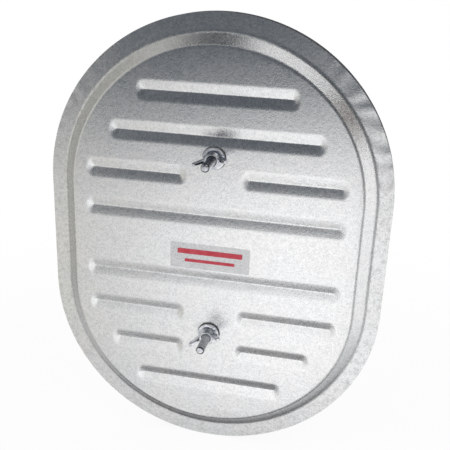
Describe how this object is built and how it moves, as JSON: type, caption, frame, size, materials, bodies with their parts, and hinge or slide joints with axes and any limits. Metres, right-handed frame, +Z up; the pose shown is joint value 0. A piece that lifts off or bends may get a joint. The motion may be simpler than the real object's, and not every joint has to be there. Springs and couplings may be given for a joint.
{
  "type": "duct access door",
  "caption": "Obround galvanised steel duct access door: grooved outer and inner pans with gaskets clamp the edge of a duct's cut-out with carriage bolts, springs and wing nuts.",
  "frame": {"origin": "middle of the door on the outer gasket's back face, which lies on the outside of the duct's wall", "axes": "+Z up along the door's longer side, +Y into the duct, +X to the right as the door is faced"},
  "size_m": [0.32, 0.0741, 0.4238],
  "materials": {
    "galvanised_steel": "hot-dip galvanised sheet with a fine dull spangle",
    "zinc_plate": "bright zinc plate",
    "spring_steel": "drawn wire, lightly oiled",
    "gasket_foam": "closed-cell foam, matt",
    "black_rubber": "moulded rubber, matt",
    "clear_film": "clear self-adhesive film",
    "red_print": "red ink on film"
  },
  "bodies": {
    "outer_door": {"outer_panel": "galvanised_steel", "outer_gasket": "gasket_foam", "upper_flat_washer": "zinc_plate", "lower_flat_washer": "zinc_plate", "upper_seal_washer": "black_rubber", "lower_seal_washer": "black_rubber", "label_film": "clear_film", "label_print": "red_print"},
    "inner_door": {"inner_panel": "galvanised_steel", "inner_gasket": "gasket_foam", "upper_bolt": "zinc_plate", "lower_bolt": "zinc_plate", "upper_head_seal": "black_rubber", "lower_head_seal": "black_rubber", "upper_bolt_retainer": "spring_steel", "lower_bolt_retainer": "spring_steel", "upper_spring": "spring_steel", "lower_spring": "spring_steel"},
    "upper_nut": {"upper_wing_nut": "zinc_plate"},
    "lower_nut": {"lower_wing_nut": "zinc_plate"}
  },
  "joints": [
    {"name": "upper_nut_turn", "type": "hinge", "parent": "outer_door", "child": "upper_nut", "pos_m": [0, 0, 0.08755], "axis": [0, -1, 0], "range_deg": [-1351, 5761]},
    {"name": "lower_nut_turn", "type": "hinge", "parent": "outer_door", "child": "lower_nut", "pos_m": [0, 0, -0.08755], "axis": [0, -1, 0], "range_deg": [-1351, 5761]},
    {"name": "inner_door_slide", "type": "slide", "parent": "outer_door", "child": "inner_door", "axis": [0, 1, 0], "range_m": [-0.00529, 0.02258], "deforming": ["upper_spring", "lower_spring"]}
  ],
  "couplings": [
    {"joint": "upper_nut_turn", "follows": "inner_door_slide", "rad_per_m": 4452.7},
    {"joint": "lower_nut_turn", "follows": "inner_door_slide", "rad_per_m": 4452.7}
  ]
}
